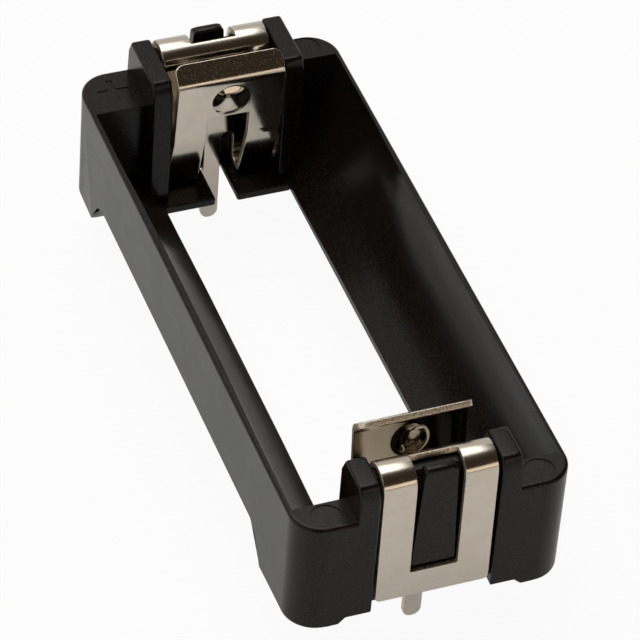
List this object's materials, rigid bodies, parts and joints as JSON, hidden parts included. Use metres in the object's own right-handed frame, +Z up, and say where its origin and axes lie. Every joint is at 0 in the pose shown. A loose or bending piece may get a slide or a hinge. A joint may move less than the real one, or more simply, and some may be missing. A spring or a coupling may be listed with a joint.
{
  "type": "pcb battery holder",
  "caption": "Open rectangular circuit-board holder for a short cylindrical cell: black moulded cradle frame with sprung sheet-metal end contacts and solder pins.",
  "frame": {"origin": "on the board's top face, under the middle of the frame", "axes": "+Z up from the board, +Y along the cell towards its positive pole, +X across the frame"},
  "size_m": [0.018, 0.0442, 0.0157],
  "materials": {
    "housing": "satin black moulded plastic",
    "front_contact": "bright nickel plate",
    "rear_contact": "bright nickel plate"
  },
  "bodies": {
    "root": {"housing": "housing", "front_contact": "front_contact", "rear_contact": "rear_contact"}
  },
  "joints": []
}
